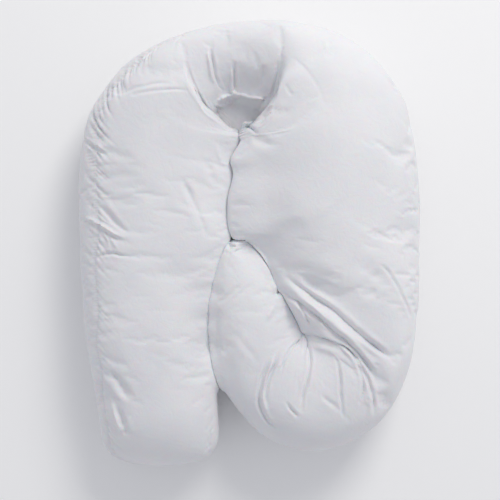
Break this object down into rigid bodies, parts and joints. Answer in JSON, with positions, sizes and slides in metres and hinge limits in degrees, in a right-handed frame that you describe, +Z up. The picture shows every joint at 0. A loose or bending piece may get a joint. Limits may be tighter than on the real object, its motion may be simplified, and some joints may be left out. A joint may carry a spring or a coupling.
{
  "type": "body pillow",
  "caption": "Long stuffed body pillow in white cotton, curled round with its slim end tucked between its two legs.",
  "frame": {"origin": "middle of the pillow's outline, on the floor it lies on", "axes": "+Z up from the floor, +Y from the square end towards the top bend, +X from the straight leg towards the wide leg"},
  "size_m": [0.5422, 0.7108, 0.1871],
  "materials": {
    "white_cotton": "matt plain-weave cotton"
  },
  "bodies": {
    "root": {"pillow": "white_cotton"}
  },
  "joints": []
}
